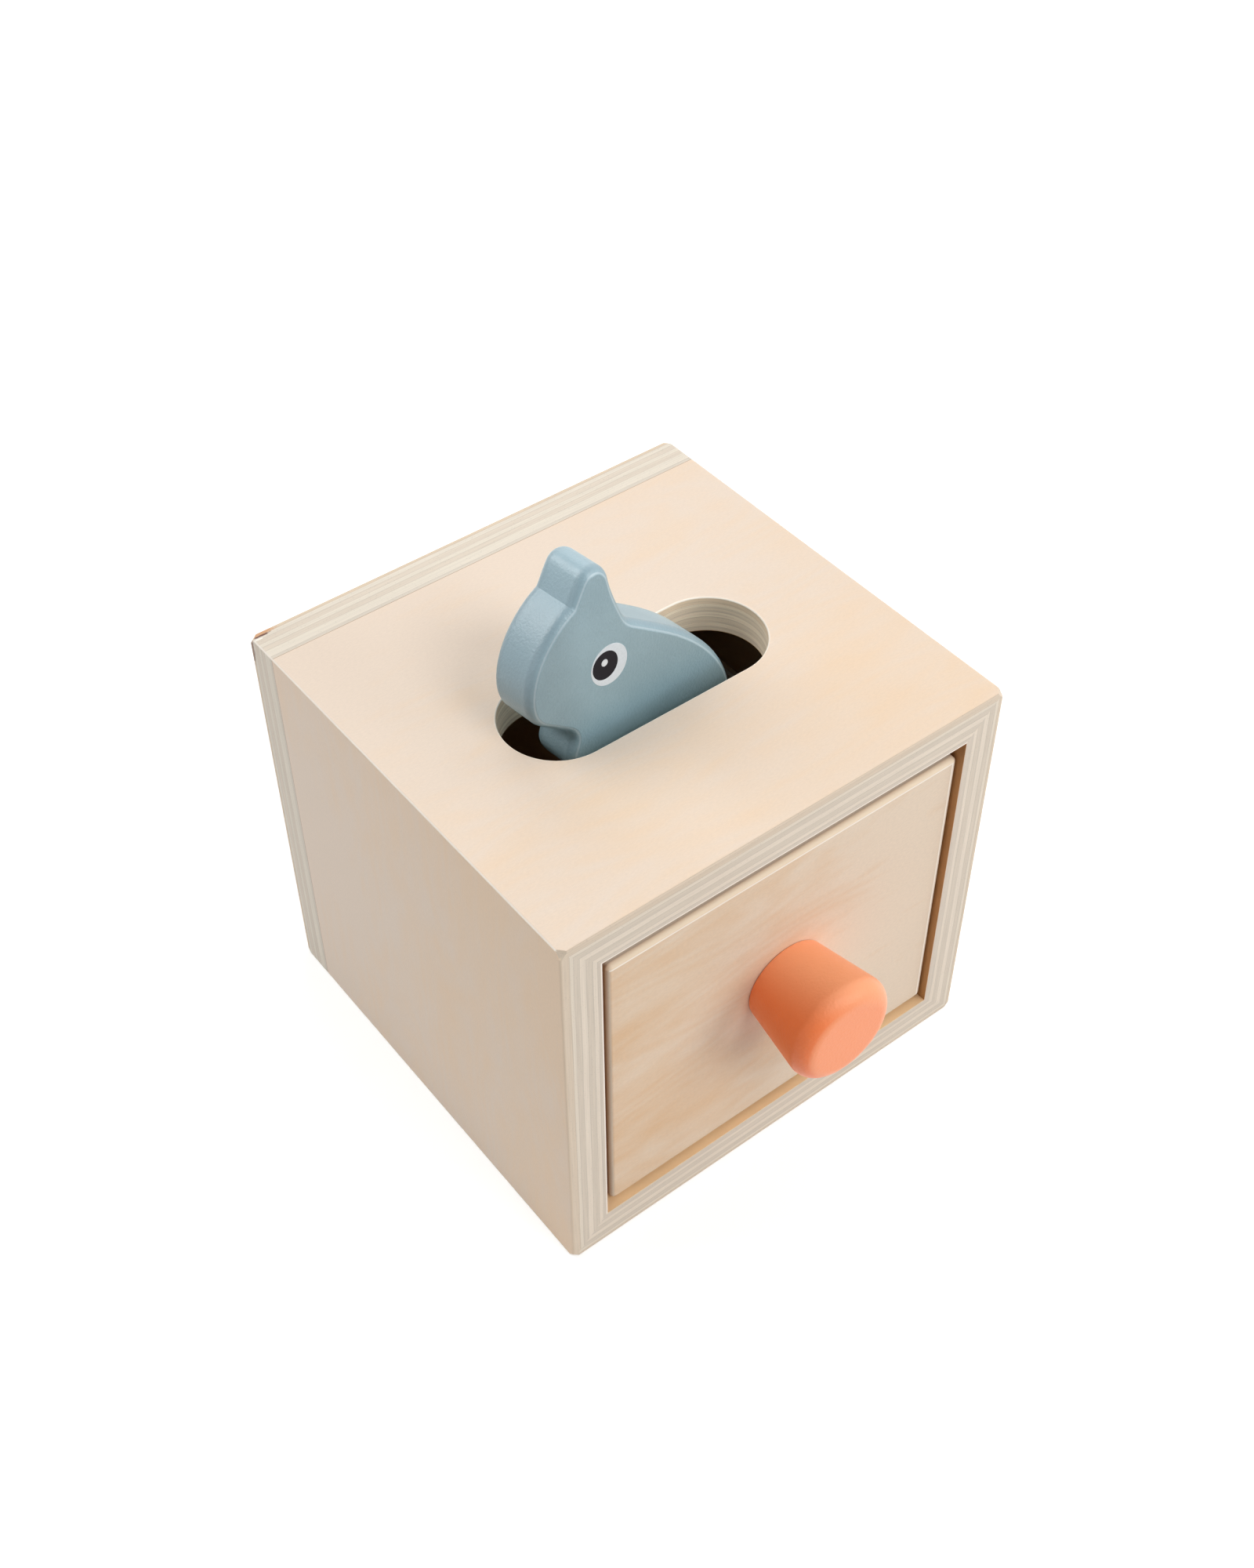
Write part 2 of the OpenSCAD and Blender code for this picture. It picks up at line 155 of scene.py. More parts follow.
class PlywoodLooks(bpy.types.PropertyGroup):
    """Colours of the boards, their sanded and glued arrises, and their painted shade and highlights
    """
    face: bpy.props.FloatVectorProperty(
        name="Face", description="Colour of the box's sanded outer veneer", subtype="COLOR", size=4,
        default=linear("#E9D7C5"))
    figure: bpy.props.FloatVectorProperty(
        name="Figure", description="Colour of the warmer growth figure in the veneer",
        subtype="COLOR", size=4, default=linear("#ECD2B6"))
    drawer_face: bpy.props.FloatVectorProperty(
        name="Drawer face", description="Colour of the drawer's veneer", subtype="COLOR", size=4,
        default=linear("#E4D1BB"))
    drawer_figure: bpy.props.FloatVectorProperty(
        name="Drawer figure", description="Colour of the growth figure on the drawer",
        subtype="COLOR", size=4, default=linear("#DCB993"))
    # The inside and doorway colours are darker than the wood: painted shade on the inner faces of
    # the box and the drawer
    inside: bpy.props.FloatVectorProperty(
        name="Inside", description="Colour of the raw inner faces", subtype="COLOR", size=4,
        default=linear("#A9855F"))
    doorway: bpy.props.FloatVectorProperty(
        name="Doorway", description="Colour of the inner faces close to the drawer front",
        subtype="COLOR", size=4, default=linear("#B88755"))
    sill: bpy.props.FloatVectorProperty(
        name="Sill",
        description="Colour of the bottom board's inner face close to the drawer front",
        subtype="COLOR", size=4, default=linear("#EFCDA0"))
    # The pale arris colour is the sanded wood together with a painted highlight
    pale: bpy.props.FloatVectorProperty(
        name="Pale arris", description="Colour of the freshly sanded arrises", subtype="COLOR",
        size=4, default=linear("#FFF6EA"))
    dark: bpy.props.FloatVectorProperty(
        name="Dark arris", description="Colour of the glue line along the front's arrises",
        subtype="COLOR", size=4, default=linear("#9C7048"))


class KnobLooks(bpy.types.PropertyGroup):
    """Shape and paint of the turned knob"""
    foot: bpy.props.FloatProperty(
        name="Foot", description="Diameter at the drawer front", unit="LENGTH", default=21.6 * MM)
    rim_round: bpy.props.FloatProperty(
        name="Rim round", description="Radius of the outer rim", unit="LENGTH", default=4.2 * MM)
    foot_round: bpy.props.FloatProperty(
        name="Foot round", description="Radius of the edge at the foot", unit="LENGTH",
        default=0.6 * MM)
    paint: bpy.props.FloatVectorProperty(
        name="Paint", description="Colour of the knob's paint", subtype="COLOR", size=4,
        default=linear("#FD8349"))


class AnimalLooks(bpy.types.PropertyGroup):
    """Shape and paint of the wooden animal"""
    size: bpy.props.FloatProperty(
        name="Size", description="Size that its outline is drawn to", unit="LENGTH",
        default=60 * MM)
    thickness: bpy.props.FloatProperty(
        name="Thickness", description="Thickness of the plate", unit="LENGTH", default=12.5 * MM)
    edge_round: bpy.props.FloatProperty(
        name="Edge round", description="Radius of its edges", unit="LENGTH", default=2.4 * MM)
    step: bpy.props.FloatProperty(
        name="Step", description="How much too deep the edges' rounding is cut", unit="LENGTH",
        default=0.16 * MM)
    near_y: bpy.props.FloatProperty(
        name="Near face", description="Where its near face passes the top of the box",
        unit="LENGTH", default=-12.5 * MM)
    turn: bpy.props.FloatProperty(
        name="Turn", description="Its turn in the slot, seen from above", subtype="ANGLE",
        default=math.radians(4))
    lean: bpy.props.FloatProperty(
        name="Lean", description="How far it leans back", subtype="ANGLE",
        default=math.radians(4.5))
    paint: bpy.props.FloatVectorProperty(
        name="Paint", description="Colour of its paint", subtype="COLOR", size=4,
        default=linear("#85A2AD"))
    eye_white: bpy.props.FloatVectorProperty(
        name="Eye white", description="Colour of the printed white", subtype="COLOR", size=4,
        default=linear("#D8E0E6"))
    eye_black: bpy.props.FloatVectorProperty(
        name="Eye black", description="Colour of the printed pupil", subtype="COLOR", size=4,
        default=linear("#0A0A15"))


class StageLooks(bpy.types.PropertyGroup):
    """Camera, lamps and floor"""
    camera_place: bpy.props.FloatVectorProperty(
        name="Camera place", description="Where the camera stands", subtype="TRANSLATION",
        unit="LENGTH", default=(-0.19475, -0.25530, 0.39979))
    camera_turn: bpy.props.FloatVectorProperty(
        name="Camera turn", description="How the camera is turned", subtype="EULER",
        default=[math.radians(a) for a in (44.4032, 0.29864, -37.84746)])
    lens: bpy.props.FloatProperty(
        name="Lens", description="Focal length in mm on a 36 mm sensor", default=45.02)
    sky: bpy.props.FloatProperty(
        name="Sky", description="Strength of the even light all round", default=0.03)
    overhead: bpy.props.FloatProperty(
        name="Overhead", description="Power of the lamp over the box", subtype="POWER", default=1.5)
    rear_left: bpy.props.FloatProperty(
        name="Rear left", description="Power of the lamp behind the box on the left",
        subtype="POWER", default=6.2)
    rear_right: bpy.props.FloatProperty(
        name="Rear right", description="Power of the lamp behind the box on the right",
        subtype="POWER", default=2.1)
    front_top: bpy.props.FloatProperty(
        name="Front top", description="Power of the high lamp before the box", subtype="POWER",
        default=4.2)
    front_low: bpy.props.FloatProperty(
        name="Front low", description="Power of the low lamp before the box on the right",
        subtype="POWER", default=4.7)
    right: bpy.props.FloatProperty(
        name="Right", description="Power of the lamp on the right", subtype="POWER", default=8.5)
    left_low: bpy.props.FloatProperty(
        name="Left low", description="Power of the low lamp on the left", subtype="POWER",
        default=0.7)


def board_coordinates(tree, outward, face, grain):
    """Place on a board in mm: along its fibres, across them, and behind its outer face."""
    place = add(tree, "TexCoord", out=3)
    place = add(tree, "VectorMath", "SCALE", {0: place, 3: 1 / MM})
    across = Vector(outward).cross(Vector(grain))
    along = add(tree, "VectorMath", "DOT_PRODUCT", {0: place, 1: grain}, 1)
    across = add(tree, "VectorMath", "DOT_PRODUCT", {0: place, 1: across}, 1)
    height = add(tree, "VectorMath", "DOT_PRODUCT", {0: place, 1: outward}, 1)
    depth = add(tree, "Math", "SUBTRACT", {0: face / MM, 1: height})
    return place, along, across, depth


def block_distances(tree, place, low, high):
    """How far a place lies inside a block in mm: from its front, its ends, its top or bottom."""
    axes = add(tree, "SeparateXYZ", None, {0: place}).node.outputs
    front = add(tree, "Math", "SUBTRACT", {0: axes[1], 1: low.y / MM})
    gaps = []
    for axis, value in ((0, axes[0]), (2, axes[2])):
        middle = (low[axis] + high[axis]) / 2 / MM
        away = add(tree, "Math", "SUBTRACT", {0: value, 1: middle})
        away = add(tree, "Math", "ABSOLUTE", {0: away})
        gaps.append(add(tree, "Math", "SUBTRACT", {0: (high[axis] - low[axis]) / 2 / MM, 1: away}))
    return front, gaps[0], gaps[1]


def slot_distance(tree, place, half, radius, middle):
    """How far a place lies outside the slot's round-ended outline, in mm."""
    place = add(tree, "VectorMath", "SUBTRACT", {0: place, 1: (0, middle, 0)})
    axes = add(tree, "SeparateXYZ", None, {0: place}).node.outputs
    end = add(tree, "Math", "ABSOLUTE", {0: axes[0]})
    end = add(tree, "Math", "SUBTRACT", {0: end, 1: half})
    end = add(tree, "Math", "MAXIMUM", {0: end, 1: 0.0})
    away = add(tree, "CombineXYZ", None, {0: end, 1: axes[1]})
    away = add(tree, "VectorMath", "LENGTH", {0: away}, 1)
    return add(tree, "Math", "SUBTRACT", {0: away, 1: radius})


def stretched_noise(tree, place, scale, detail, roughness=0.5):
    """Noise over a place in mm, with its own scale along each axis."""
    place = add(tree, "VectorMath", "MULTIPLY", {0: place, 1: scale})
    return add(tree, "TexNoise", None, {
        "Vector": place, "Scale": 1.0, "Detail": detail, "Roughness": roughness})


def wear_and_painted_light(tree, colour, pairs, tint, start, end, strength):
    """Tints the arrises where two faces meet, fully up to start and fading out at end, in mm."""
    nearest = None
    for one, other in pairs:
        pair = add(tree, "Math", "MAXIMUM", {0: one, 1: other})
        if nearest is not None:
            pair = add(tree, "Math", "MINIMUM", {0: nearest, 1: pair})
        nearest = pair
    amount = add(tree, "MapRange", SMOOTH, {0: nearest, 1: start, 2: end, 3: strength, 4: 0.0})
    return add(tree, "Mix", COLOUR, {0: amount, 6: colour, 7: tint}, 2)


def veneer(tree, board, place, shifted):
    """Sanded birch veneer, pale and even with a faint warm figure: its colour and its fibres."""
    looks = bpy.context.scene.permanence_wood
    if board["drawer"]:
        plain, figure, darkest, lightest = looks.drawer_face, looks.drawer_figure, 0.945, 1.04
    else:
        plain, figure, darkest, lightest = looks.face, looks.figure, 0.968, 1.022
    # Warmer and cooler clouds 20 to 60 mm long
    clouds = stretched_noise(tree, shifted, (0.018, 0.045, 0.0), detail=4.0, roughness=0.6)
    # Ragged patches 5 mm wide and 15 mm long
    patches = stretched_noise(tree, shifted, (0.06, 0.19, 0.1), detail=5.0, roughness=0.65)
    # Growth rings: level lines of a long smooth swell, which close to arches where it peaks
    swell = stretched_noise(tree, shifted, (0.011, 0.05, 0.0), detail=1.0)
    rings = add(tree, "Math", "MULTIPLY_ADD", {0: swell, 1: RING_TURNS, 2: patches})
    rings = add(tree, "Math", "SINE", {0: rings})
    warm = WARM_START
    for part, share in ((rings, RING_SHARE), (clouds, CLOUD_SHARE), (patches, PATCH_SHARE)):
        warm = add(tree, "Math", "MULTIPLY_ADD", {0: part, 1: share, 2: warm})
    # One end of the board is warmer than the other
    drift = board.get("drift", (0, 0, 0))
    drift = add(tree, "VectorMath", "DOT_PRODUCT", {0: place, 1: drift}, 1)
    warm = add(tree, "Math", {"operation": "ADD", "use_clamp": True}, {0: warm, 1: drift})
    colour = add(tree, "Mix", COLOUR, {0: warm, 6: plain, 7: figure}, 2)
    # Fibres: short fine strokes 0.4 mm wide
    fibres = stretched_noise(tree, shifted, (1.0, 2.4, 1.0), detail=3.0, roughness=0.65)
    shade = add(tree, "MapRange", None, {
        0: fibres, 1: NOISE_LOW, 2: NOISE_HIGH, 3: darkest, 4: lightest})
    colour = add(tree, "VectorMath", "SCALE", {0: colour, 3: shade})
    return colour, fibres


def ply_edge(tree, board, shifted, depth):
    """Cut edge, plies with thin darker glue lines between: its colour, lines and their shade."""
    # The plies are a little wavy
    wave = stretched_noise(tree, shifted, (0.05, 0.05, 0.0), detail=2.0)
    wave = add(tree, "Math", "MULTIPLY_ADD", {
        0: wave, 1: PLY_WAVE, 2: -PLY_WAVE / 2 - board.get("thicker", 0)})
    layer = add(tree, "Math", "ADD", {0: depth, 1: wave})
    thickness = board["thickness"] / MM
    layer = add(tree, "Math", "DIVIDE", {0: layer, 1: thickness})
    plies = board["plies"]
    stops = [(0.0, linear(plies[0][1]))]
    for (_, before), (start, after) in zip(plies, plies[1:]):
        before, after = linear(before), linear(after)
        glue = [GLUE_SHADE * min(a, b) for a, b in zip(before, after)][:3] + [1.0]
        for offset, colour in (
                (-PLY_RIM, before), (-GLUE_HALF, glue), (GLUE_HALF, glue), (PLY_RIM, after)):
            stops.append(((start + offset) / thickness, colour))
    stops.append((1.0, linear(plies[-1][1])))
    colour = add(tree, "ValToRGB", {"stops": stops}, {0: layer})
    # Fine lines within a ply, 0.3 mm apart and 15 mm long
    lines = stretched_noise(tree, shifted, (0.06, 0.06, 3.2), detail=3.0, roughness=0.6)
    shade = add(tree, "MapRange", None, {0: lines, 1: NOISE_LOW, 2: NOISE_HIGH, 3: 0.92, 4: 1.05})
    colour = add(tree, "VectorMath", "SCALE", {0: colour, 3: shade})
    # End grain: open pores as dark dots 0.2 mm wide
    pores = add(tree, "TexVoronoi", {"feature": "F1"}, {"Vector": shifted, "Scale": 1.4})
    pores = add(tree, "MapRange", SMOOTH, {0: pores, 1: 0.1, 2: 0.24, 3: 0.88, 4: 1.0})
    colour = add(tree, "VectorMath", "SCALE", {0: colour, 3: pores})
    return colour, lines, shade


def box_wear_and_painted_light(tree, board, place, colour, distances, depth, lines):
    """Arrises of the box: sanding and a painted highlight leave most of them paler, glue shows
    along its front, and the slot's wall gets painted light.
    """
    looks = bpy.context.scene.permanence_wood
    front, side, level = distances
    pale = [(side, level)]
    if board.get("crisp"):
        within = add(tree, "Math", "SUBTRACT", {0: board["thickness"] / MM, 1: depth})
        pale.append((front, within))
    if "slot" in board:
        rim = slot_distance(tree, place, *board["slot"])
        pale.append((rim, depth))
        # The slot's wall is painted paler than the boards' edges: painted light down in the slot
        cut = add(tree, "MapRange", SMOOTH, {0: rim, 1: 0.2, 2: 0.5, 3: 1.0, 4: 0.0})
        paler = add(tree, "VectorMath", "MULTIPLY", {0: colour, 1: SLOT_WALL_GAIN})
        ridges = add(tree, "MapRange", None, {0: lines, 1: 0.35, 2: 0.5, 3: 0.9, 4: 1.0})
        paler = add(tree, "VectorMath", "SCALE", {0: paler, 3: ridges})
        colour = add(tree, "Mix", COLOUR, {0: cut, 6: colour, 7: paler}, 2)
    # Sanded arrises, with a painted highlight along them, at the doorway's inner arris and at the
    # slot's rim
    colour = wear_and_painted_light(tree, colour, pale, looks.pale, start=0.2, end=0.45, strength=0.9)
    # Painted highlight on the front's upright arrises, which face away from the lamps
    colour = wear_and_painted_light(
        tree, colour, [(front, side)], linear("#F6E0C6"), start=0.25, end=0.6, strength=0.65)
    return wear_and_painted_light(tree, colour, [(front, level)], looks.dark, start=0.1, end=0.3, strength=0.4)


def drawer_front_painted_light(tree, board, place, colour, distances):
    """Round edge of the drawer front: painted light makes it paler at the top, a painted highlight
    draws a crisp line at the top and right, and painted shade browns its ends.
    """
    looks = bpy.context.scene.permanence_wood
    front, side, _ = distances
    high = board["block"][1]
    axes = add(tree, "SeparateXYZ", None, {0: place}).node.outputs
    right = add(tree, "Math", "SUBTRACT", {0: high.x / MM, 1: axes[0]})
    top = add(tree, "Math", "SUBTRACT", {0: high.z / MM, 1: axes[2]})
    # Painted light on the top round, which lies under the box's top board
    colour = wear_and_painted_light(
        tree, colour, [(front, top)], linear("#F6E2C6"), start=0.8, end=1.5, strength=0.8)
    # Painted highlight: a crisp pale line where the round meets the face
    border = add(tree, "Math", "MINIMUM", {0: right, 1: top})
    border = add(tree, "Math", "SUBTRACT", {0: border, 1: CRISP_LINE})
    border = add(tree, "Math", "ABSOLUTE", {0: border})
    colour = wear_and_painted_light(tree, colour, [(front, border)], looks.pale, start=0.1, end=0.3, strength=0.9)
    # The ends are painted browner behind the round: painted shade in the gap beside the box
    behind = add(tree, "Math", "SUBTRACT", {0: BROWN_END, 1: front})
    return wear_and_painted_light(
        tree, colour, [(behind, side)], linear("#9A6B42"), start=0.1, end=0.9, strength=0.7)


def plywood(name, board):
    """Birch plywood, sanded and lacquered matt: pale veneer with a faint figure, banded edges."""
    looks = bpy.context.scene.permanence_wood
    material, tree = new_material(name)
    thickness = board["thickness"] / MM
    place, along, across, depth = board_coordinates(
        tree, board["outward"], board["face"], board["grain"])
    flat = add(tree, "CombineXYZ", None, {0: along, 1: across, 2: depth})
    # Each board is cut from another place of the sheet
    shift = [board["seed"] * step for step in SHEET_STEPS]
    shifted = add(tree, "VectorMath", "ADD", {0: flat, 1: shift})
    face_colour, fibres = veneer(tree, board, place, shifted)
    edge_colour, lines, shade = ply_edge(tree, board, shifted, depth)

    # The outer and the inner face reach as deep as their veneer's skin
    outer = add(tree, "MapRange", SMOOTH, {0: depth, 1: SKIN_FULL, 2: SKIN_END, 3: 1.0, 4: 0.0})
    inner = add(tree, "MapRange", SMOOTH, {
        0: depth, 1: thickness - SKIN_END, 2: thickness - SKIN_FULL})
    colour = add(tree, "Mix", COLOUR, {0: outer, 6: edge_colour, 7: face_colour}, 2)
    distances = block_distances(tree, place, *board["block"])
    # Painted shade: close to the drawer front the inner faces take the doorway's or the sill's
    # colour, deeper in the darker inside colour
    deep = add(tree, "MapRange", SMOOTH, {0: distances[0], 1: DOORWAY_FULL, 2: DOORWAY_END})
    doorway = looks.sill if board.get("sill") else looks.doorway
    shaded = add(tree, "Mix", COLOUR, {0: deep, 6: doorway, 7: looks.inside}, 2)
    shaded = add(tree, "VectorMath", "SCALE", {0: shaded, 3: shade})
    colour = add(tree, "Mix", COLOUR, {0: inner, 6: colour, 7: shaded}, 2)
    if board.get("edge_tints"):
        if board["drawer"]:
            colour = drawer_front_painted_light(tree, board, place, colour, distances)
        else:
            colour = box_wear_and_painted_light(tree, board, place, colour, distances, depth, lines)

    # Marks of the saw and the sander: an ellipsoid each, with a ragged rim
    for middle, radii, tint, strength in board.get("marks", ()):
        away = add(tree, "VectorMath", "SUBTRACT", {0: place, 1: middle})
        away = add(tree, "VectorMath", "DIVIDE", {0: away, 1: radii})
        away = add(tree, "VectorMath", "LENGTH", {0: away}, 1)
        ragged = add(tree, "TexNoise", None, {"Vector": place, "Scale": 1.3, "Detail": 3.0})
        away = add(tree, "Math", "ADD", {0: away, 1: ragged})
        mark = add(tree, "MapRange", SMOOTH, {0: away, 1: 1.0, 2: 1.6, 3: strength, 4: 0.0})
        colour = add(tree, "Mix", COLOUR, {0: mark, 6: colour, 7: linear(tint)}, 2)

    # Matt lacquer over fibres that can just be felt
    rough = add(tree, "MapRange", None, {0: fibres, 1: NOISE_LOW, 2: NOISE_HIGH, 3: 0.5, 4: 0.62})
    relief = add(tree, "Math", "ADD", {0: fibres, 1: lines})
    bump = add(tree, "Bump", None, {"Height": relief, "Strength": 0.35, "Distance": 0.03 * MM})
    shader = add(tree, "BsdfPrincipled", None, {
        "Base Color": colour, "Roughness": rough, "Normal": bump,
        "IOR": 1.45, "Specular IOR Level": 0.4})
    add(tree, "OutputMaterial", None, {0: shader})
    return material


def satin_paint(name, paint, light, roughness, sheen, grit, spread, fades=(), bands=(), ends=None):
    """Satin paint on turned or cut wood: even colour, with the fine grain of the sanded primer.

    The grit is in mm. The light colour shows in the thin places of the coat, as far as spread says;
    the fades paint light with it, and the bands and the ends paint shade and highlights.
    """
    material, tree = new_material(name)
    place = add(tree, "TexCoord", out=3)
    # Grit of the primer, drawn at about 0.7 mm so that it shows
    fine = add(tree, "TexNoise", None, {
        "Vector": place, "Scale": 1 / (grit * MM), "Detail": 3.0, "Roughness": 0.6})
    # Thin and thick places of the coat, 10 to 20 mm wide
    coat = add(tree, "TexNoise", None, {"Vector": place, "Scale": 1 / (14 * MM), "Detail": 1.0})
    mixed = add(tree, "Math", "MULTIPLY_ADD", {0: fine, 1: 0.6, 2: coat})
    amount = add(tree, "MapRange", None, {0: mixed, 1: 0.65, 2: 0.95, 3: 0.0, 4: spread})
    for direction, start, end, before, after in fades:
        # Painted light: the paint is paler towards this side
        toward = add(tree, "VectorMath", "DOT_PRODUCT", {0: place, 1: direction}, 1)
        paler = add(tree, "MapRange", SMOOTH, {0: toward, 1: start, 2: end, 3: before, 4: after})
        amount = add(tree, "Math", "MAXIMUM", {0: amount, 1: paler})
    colour = add(tree, "Mix", COLOUR, {0: amount, 6: paint, 7: light}, 2)
    for direction, middle, half, tint, strength in bands:
        # Painted shade as a dark band on the rounded edges, and a painted highlight as a pale line
        # at their rims
        away = add(tree, "VectorMath", "DOT_PRODUCT", {0: place, 1: direction}, 1)
        away = add(tree, "Math", "SUBTRACT", {0: away, 1: middle})
        away = add(tree, "Math", "ABSOLUTE", {0: away})
        band = add(tree, "MapRange", SMOOTH, {0: away, 1: half * 0.3, 2: half, 3: strength, 4: 0.0})
        colour = add(tree, "Mix", COLOUR, {0: band, 6: colour, 7: linear(tint)}, 2)
    if ends:
        # Painted shade: the paint is darker towards the nose, where the plate's edge turns down
        start, end, tint, strength = ends
        axes = add(tree, "SeparateXYZ", None, {0: place})
        toward = add(tree, "MapRange", SMOOTH, {0: axes, 1: end, 2: start, 3: strength, 4: 0.0})
        colour = add(tree, "Mix", COLOUR, {0: toward, 6: colour, 7: linear(tint)}, 2)
    rough = add(tree, "MapRange", None, {
        0: fine, 1: NOISE_LOW, 2: NOISE_HIGH, 3: roughness - 0.05, 4: roughness + 0.05})
    bump = add(tree, "Bump", None, {"Height": fine, "Strength": 0.7, "Distance": 0.16 * MM})
    shader = add(tree, "BsdfPrincipled", None, {
        "Base Color": colour, "Roughness": rough, "Normal": bump,
        "IOR": 1.5, "Specular IOR Level": sheen})
    add(tree, "OutputMaterial", None, {0: shader})
    return material


def printed_ink(name, ink):
    """Pad-printed ink: flat colour, a little glossier than the paint under it."""
    material, tree = new_material(name)
    place = add(tree, "TexCoord", out=3)
    # Speckle of the pad, 0.5 mm
    speckle = add(tree, "TexNoise", None, {
        "Vector": place, "Scale": 1 / (0.5 * MM), "Detail": 2.0})
    shade = add(tree, "MapRange", None, {
        0: speckle, 1: NOISE_LOW, 2: NOISE_HIGH, 3: 0.95, 4: 1.03})
    colour = add(tree, "VectorMath", "SCALE", {0: ink[:3], 3: shade})
    rough = add(tree, "MapRange", None, {
        0: speckle, 1: NOISE_LOW, 2: NOISE_HIGH, 3: 0.36, 4: 0.44})
    shader = add(tree, "BsdfPrincipled", None, {
        "Base Color": colour, "Roughness": rough, "Specular IOR Level": 0.2})
    add(tree, "OutputMaterial", None, {0: shader})
    return material


def zinc_plate():
    """Zinc-plated steel: a cool, slightly cloudy metal."""
    material, tree = new_material("zinc_plated_steel")
    place = add(tree, "TexCoord", out=3)
    # Clouds of the plating, 1.2 mm wide
    cloud = add(tree, "TexNoise", None, {"Vector": place, "Scale": 1 / (1.2 * MM), "Detail": 3.0})
    colour = add(tree, "Mix", COLOUR, {0: cloud, 6: linear("#A9ACB2"), 7: linear("#C9CBCF")}, 2)
    rough = add(tree, "MapRange", None, {0: cloud, 1: NOISE_LOW, 2: NOISE_HIGH, 3: 0.28, 4: 0.42})
    shader = add(tree, "BsdfPrincipled", None, {
        "Base Color": colour, "Roughness": rough, "Metallic": 1.0})
    add(tree, "OutputMaterial", None, {0: shader})
    return material


def select_only(piece):
    """Leaves one object selected and active."""
    bpy.ops.object.select_all(action="DESELECT")
    piece.select_set(True)
    bpy.context.view_layer.objects.active = piece


def tidy(piece):
    """Joins doubled points and melts the triangles of a flat face into one face."""
    select_only(piece)
    bpy.ops.object.mode_set(mode="EDIT")
    bpy.ops.mesh.select_all(action="SELECT")
    bpy.ops.mesh.remove_doubles(threshold=0.01 * MM)
    bpy.ops.mesh.dissolve_limited(angle_limit=math.radians(0.3))
    # Stray inner faces have free sides, and go from there inwards
    for _ in range(4):
        bpy.ops.mesh.select_mode(type="EDGE")
        bpy.ops.mesh.select_all(action="DESELECT")
        bpy.ops.mesh.select_non_manifold(
            extend=False, use_wire=False, use_boundary=True, use_multi_face=False,
            use_non_contiguous=False, use_verts=False)
        bpy.ops.mesh.select_mode(use_expand=True, type="FACE")
        bpy.ops.mesh.delete(type="FACE")
    bpy.ops.mesh.select_mode(type="VERT")
    bpy.ops.mesh.select_all(action="SELECT")
    bpy.ops.mesh.normals_make_consistent(inside=False)
    bpy.ops.object.mode_set(mode="OBJECT")


def smooth(piece, angle=35):
    """Smooth shading over the rounds, with flat faces kept flat."""
    select_only(piece)
    bpy.ops.object.shade_smooth_by_angle(angle=math.radians(angle))
    modifier = piece.modifiers.new("even_normals", "WEIGHTED_NORMAL")
    modifier.keep_sharp = True
    bpy.ops.object.modifier_apply(modifier=modifier.name)


def dress(piece, name, material, body):
    """Names a piece, gives it its material and lets it ride on its body."""
    piece.name = name
    piece.data.name = name
    piece.data.materials.clear()
    piece.data.materials.append(material)
    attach(piece, body)


def board_piece(node, material, body):
    """The CAD board with its triangles joined, so that its rounds shade smoothly."""
    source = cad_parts[node]
    piece = source.copy()
    piece.data = source.data.copy()
    bpy.context.scene.collection.objects.link(piece)
    piece.parent = None
    piece.matrix_world = Matrix.Identity(4)
    select_only(piece)
    bpy.ops.mesh.customdata_custom_splitnormals_clear()
    tidy(piece)
    smooth(piece)
    dress(piece, node + "_board", material, body)
    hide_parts(node)


class MakeBox(bpy.types.Operator):
    """Dresses the five boards of the box"""
    bl_idname = "permanence.make_box"
    bl_label = "Make the box"

    def execute(self, context):
        block = (Vector((BOX_LOW.x, BOX_FRONT, BOX_LOW.z)), BOX_HIGH)
        slot_y = (BOX_FRONT + FRAME_BACK) / 2 / MM
        # The saw burnt the back board's corner: singed patch, dark streak, chip and brown arris,
        # each with its middle and its radii in mm, its tint and its strength
        marks = (
            ((-57.6, 57.9, 110), (4.4, 1.1, 1.0), "#C98A52", 0.7),
            ((-57.6, 57.0, 110), (2.6, 0.34, 0.5), "#4F2218", 0.95),
            ((-58.9, 56.2, 110), (1.3, 0.35, 0.5), "#FBF5EA", 0.9),
            ((-60, 57.9, 107), (0.8, 1.3, 5), "#6A4028", 0.8),
        )
        slot = ((SLOT_LENGTH - SLOT_WIDTH) / 2, SLOT_WIDTH / 2, slot_y)
        boards = {
            "top_panel": {
                "outward": (0, 0, 1), "face": BOX_HIGH.z, "grain": (1, 0, 0), "seed": 1,
                "drift": (0.002, -0.006, 0), "slot": slot, "thicker": 0.6, "crisp": True},
            "left_panel": {
                "outward": (-1, 0, 0), "face": -BOX_LOW.x, "grain": (0, 0, 1), "seed": 2,
                "drift": (0, -0.0075, 0.003), "thicker": 0.8, "crisp": True},
            "right_panel": {
                "outward": (1, 0, 0), "face": BOX_HIGH.x, "grain": (0, 0, 1), "seed": 3},
            "bottom_panel": {
                "outward": (0, 0, -1), "face": 0.0, "grain": (1, 0, 0), "seed": 4, "sill": True},
            "back_panel": {
                "outward": (0, 1, 0), "face": BOX_HIGH.y, "grain": (1, 0, 0), "seed": 5,
                "plies": BACK_PLIES, "marks": marks},
        }
        shared = {
            "plies": BOX_PLIES, "thickness": BOARD, "block": block, "drawer": False, "edge_tints": True}
        for node, board in boards.items():
            material = plywood("birch_plywood_" + node, shared | board)
            board_piece(node, material, "box")
        return {"FINISHED"}


